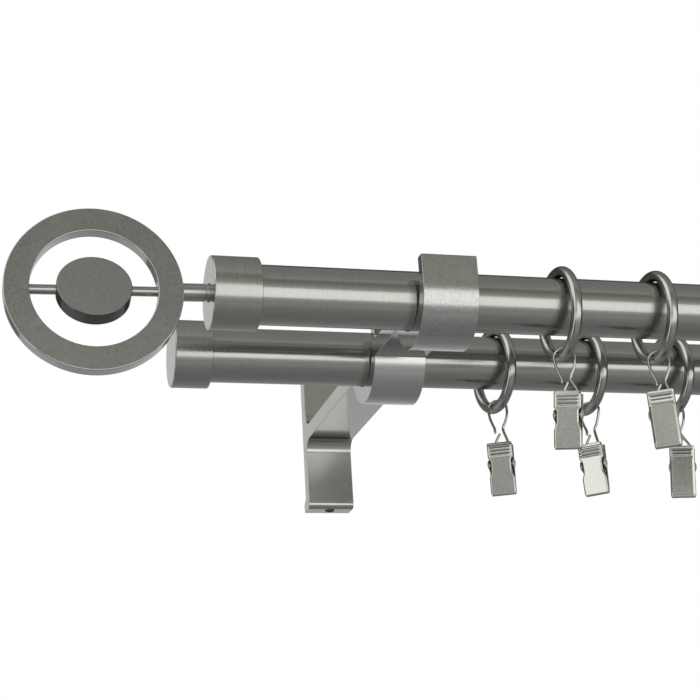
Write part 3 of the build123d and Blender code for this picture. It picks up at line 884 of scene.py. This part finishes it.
def blend(tree, amount, socket, first, second=None):
    # first where the amount is 0, second where it is 1
    mixed = addNode(tree, "ShaderNodeMixRGB")
    nodeLink(tree, amount, socket, mixed, "Fac")
    nodeLink(tree, first, "Color", mixed, "Color1")
    if second:
        nodeLink(tree, second, "Color", mixed, "Color2")
    return mixed


def makeTube():
    # closed tube round the poles' line
    steps = studio["tubeSteps"]
    points, faces = [], []
    left, right = studio["tubeLeft"] / mm, studio["tubeRight"] / mm
    for k in range(steps):
        angle = 2 * math.pi * k / steps
        y = (studio["poleLine"] - math.cos(angle) * studio["tubeRadius"]) / mm
        z = math.sin(angle) * studio["tubeRadius"] / mm
        points += [(left, y, z), (right, y, z)]
    for k in range(steps):
        after = (k + 1) % steps
        faces.append((2 * k, 2 * k + 1, 2 * after + 1, 2 * after))
    faces.append(tuple(2 * k for k in range(steps)))
    faces.append(tuple(2 * k + 1 for k in range(steps)))
    finishes["tube"], tree, glow = glowMaterial("studioTube", studio["strength"])
    coordinates = addNode(tree, "ShaderNodeTexCoord")
    parts = addNode(tree, "ShaderNodeSeparateXYZ")
    nodeLink(tree, coordinates, "Object", parts, "Vector")
    # the angle round the poles' line, as a share of the full turn
    forward = addNode(tree, "ShaderNodeMath", {1: -1.0, 2: studio["poleLine"]},
                      operation="MULTIPLY_ADD")
    nodeLink(tree, parts, "Y", forward, 0)
    angle = addNode(tree, "ShaderNodeMath", operation="ARCTAN2")
    nodeLink(tree, parts, "Z", angle, 0)
    nodeLink(tree, forward, "Value", angle, 1)
    share = addNode(tree, "ShaderNodeMath", {1: 0.5 / math.pi, 2: 0.5}, operation="MULTIPLY_ADD")
    nodeLink(tree, angle, "Value", share, 0)
    toStrip = addNode(tree, "ShaderNodeMapRange", interpolation_type="SMOOTHSTEP", inputs={
        "From Min": studio["stripLeft"], "From Max": studio["stripLeft"] + studio["stripFade"]})
    nodeLink(tree, parts, "X", toStrip, "Value")
    # the bright wall begins at a slanting edge
    edge = addNode(tree, "ShaderNodeMapRange", {
        "From Min": studio["wallFrom"] / 360 + 0.5, "From Max": studio["wallTo"] / 360 + 0.5,
        "To Min": studio["wallEdgeFrom"], "To Max": studio["wallEdgeTo"]})
    nodeLink(tree, share, "Value", edge, "Value")
    inside = addNode(tree, "ShaderNodeMath", operation="SUBTRACT")
    nodeLink(tree, edge, "Result", inside, 0)
    nodeLink(tree, parts, "X", inside, 1)
    toWall = addNode(tree, "ShaderNodeMapRange", interpolation_type="SMOOTHSTEP",
                     inputs={"From Max": studio["wallFade"]})
    nodeLink(tree, inside, "Value", toWall, "Value")
    side, ahead, wall = (toneRamp(tree, share, tones) for tones in (sideTones, aheadTones, wallTones))
    ends = blend(tree, toWall, "Result", blend(tree, toStrip, "Result", side, ahead), wall)
    for key, sign in (("leftEnd", -1), ("rightEnd", 1)):
        limit = studio["tubeRight"] if sign > 0 else studio["tubeLeft"]
        beyond = addNode(tree, "ShaderNodeMath", {1: limit - sign * studio["endMargin"]},
                         operation="GREATER_THAN" if sign > 0 else "LESS_THAN")
        nodeLink(tree, parts, "X", beyond, 0)
        ends = blend(tree, beyond, "Value", ends)
        value = studio[key] / studio["strength"]
        ends.inputs["Color2"].default_value = (value, value, value, 1)
    nodeLink(tree, ends, "Color", glow, "Color")
    tube = makePiece("studioTube", points, faces, "tube")
    leaveToReflections(tube)


# Painted shade: a dark, faintly glowing strip between the poles that only reflections show, standing in
# for the front pole's shade in the rear pole's reflections
shadeCardLook = {"y": -160.0, "bottom": 9.6, "top": 25.0, "left": -60.0, "right": 1160.0, "tone": 0.13,
            "colour": (1, 1, 0.95, 1)}


def makePaintedShadeCard():
    look = shadeCardLook
    points = [(x, look["y"], z) for z in (look["bottom"], look["top"])
              for x in (look["left"], look["right"])]
    finishes["shadeCard"], _, glow = glowMaterial("paintedShadeCard", look["tone"])
    glow.inputs["Color"].default_value = look["colour"]
    shadeCard = makePiece("paintedShadeCard", points, [(0, 1, 3, 2)], "shadeCard")
    leaveToReflections(shadeCard)


# Lamp, a softbox that looks at the rings; round is from the room's side towards -X
lampLook = {"target": (0.03, -0.135, 0.0), "degreesRound": 25.0, "degreesUp": 55.0, "distance": 2.5,
            "width": 1.6, "height": 1.6, "radiance": 0.8}


def makeLamp():
    look = lampLook
    a, e = math.radians(look["degreesRound"]), math.radians(look["degreesUp"])
    away = Vector((-math.sin(a) * math.cos(e), -math.cos(a) * math.cos(e), math.sin(e)))
    data = bpy.data.lights.new("keyLamp", "AREA")
    data.shape = "RECTANGLE"
    data.size, data.size_y = look["width"], look["height"]
    data.energy = look["radiance"] * math.pi * look["width"] * look["height"]
    lamp = bpy.data.objects.new("keyLamp", data)
    lamp.location = Vector(look["target"]) + away * look["distance"]
    lamp.rotation_mode = "QUATERNION"
    lamp.rotation_quaternion = away.to_track_quat("Z", "Y")
    lamp.visible_camera = False
    lamp.visible_glossy = False
    bpy.context.scene.collection.objects.link(lamp)


makeFloor()
makeTube()
makePaintedShadeCard()
makeLamp()

world = bpy.data.worlds.new("studio")
bpy.context.scene.world = world
world.use_nodes = True
world.node_tree.nodes["Background"].inputs["Color"].default_value = (1, 1, 1, 1)
world.node_tree.nodes["Background"].inputs["Strength"].default_value = 1.0
bpy.context.scene.view_settings.view_transform = "Standard"
print("studio made")

# Camera at the photograph's place
cameraLook = {"place": (-0.16084, -0.63151, -0.18535), "azimuth": 15.59, "elevation": 19.04,
              "roll": -3.39, "focalPixels": 1558.03, "imagePixels": 700, "centre": (351.98, 352.35),
              "sensor": 36.0, "clip": (0.01, 60.0)}


def makeCamera():
    look = cameraLook
    a, e, r = (math.radians(look[key]) for key in ("azimuth", "elevation", "roll"))
    ahead = Vector((math.sin(a) * math.cos(e), math.cos(a) * math.cos(e), math.sin(e)))
    level = Vector((math.cos(a), -math.sin(a), 0))
    upright = level.cross(ahead)
    right = level * math.cos(r) + upright * math.sin(r)
    up = upright * math.cos(r) - level * math.sin(r)
    data = bpy.data.cameras.new("photoCamera")
    data.sensor_width = look["sensor"]
    data.lens = look["sensor"] * look["focalPixels"] / look["imagePixels"]
    middle = look["imagePixels"] / 2
    data.shift_x = -(look["centre"][0] - middle) / look["imagePixels"]
    data.shift_y = (look["centre"][1] - middle) / look["imagePixels"]
    data.clip_start, data.clip_end = look["clip"]
    camera = bpy.data.objects.new("photoCamera", data)
    turn = Matrix((right, up, -ahead)).transposed()
    camera.matrix_world = Matrix.Translation(look["place"]) @ turn.to_4x4()
    bpy.context.scene.collection.objects.link(camera)
    bpy.context.scene.camera = camera


makeCamera()

bpy.context.view_layer.update()
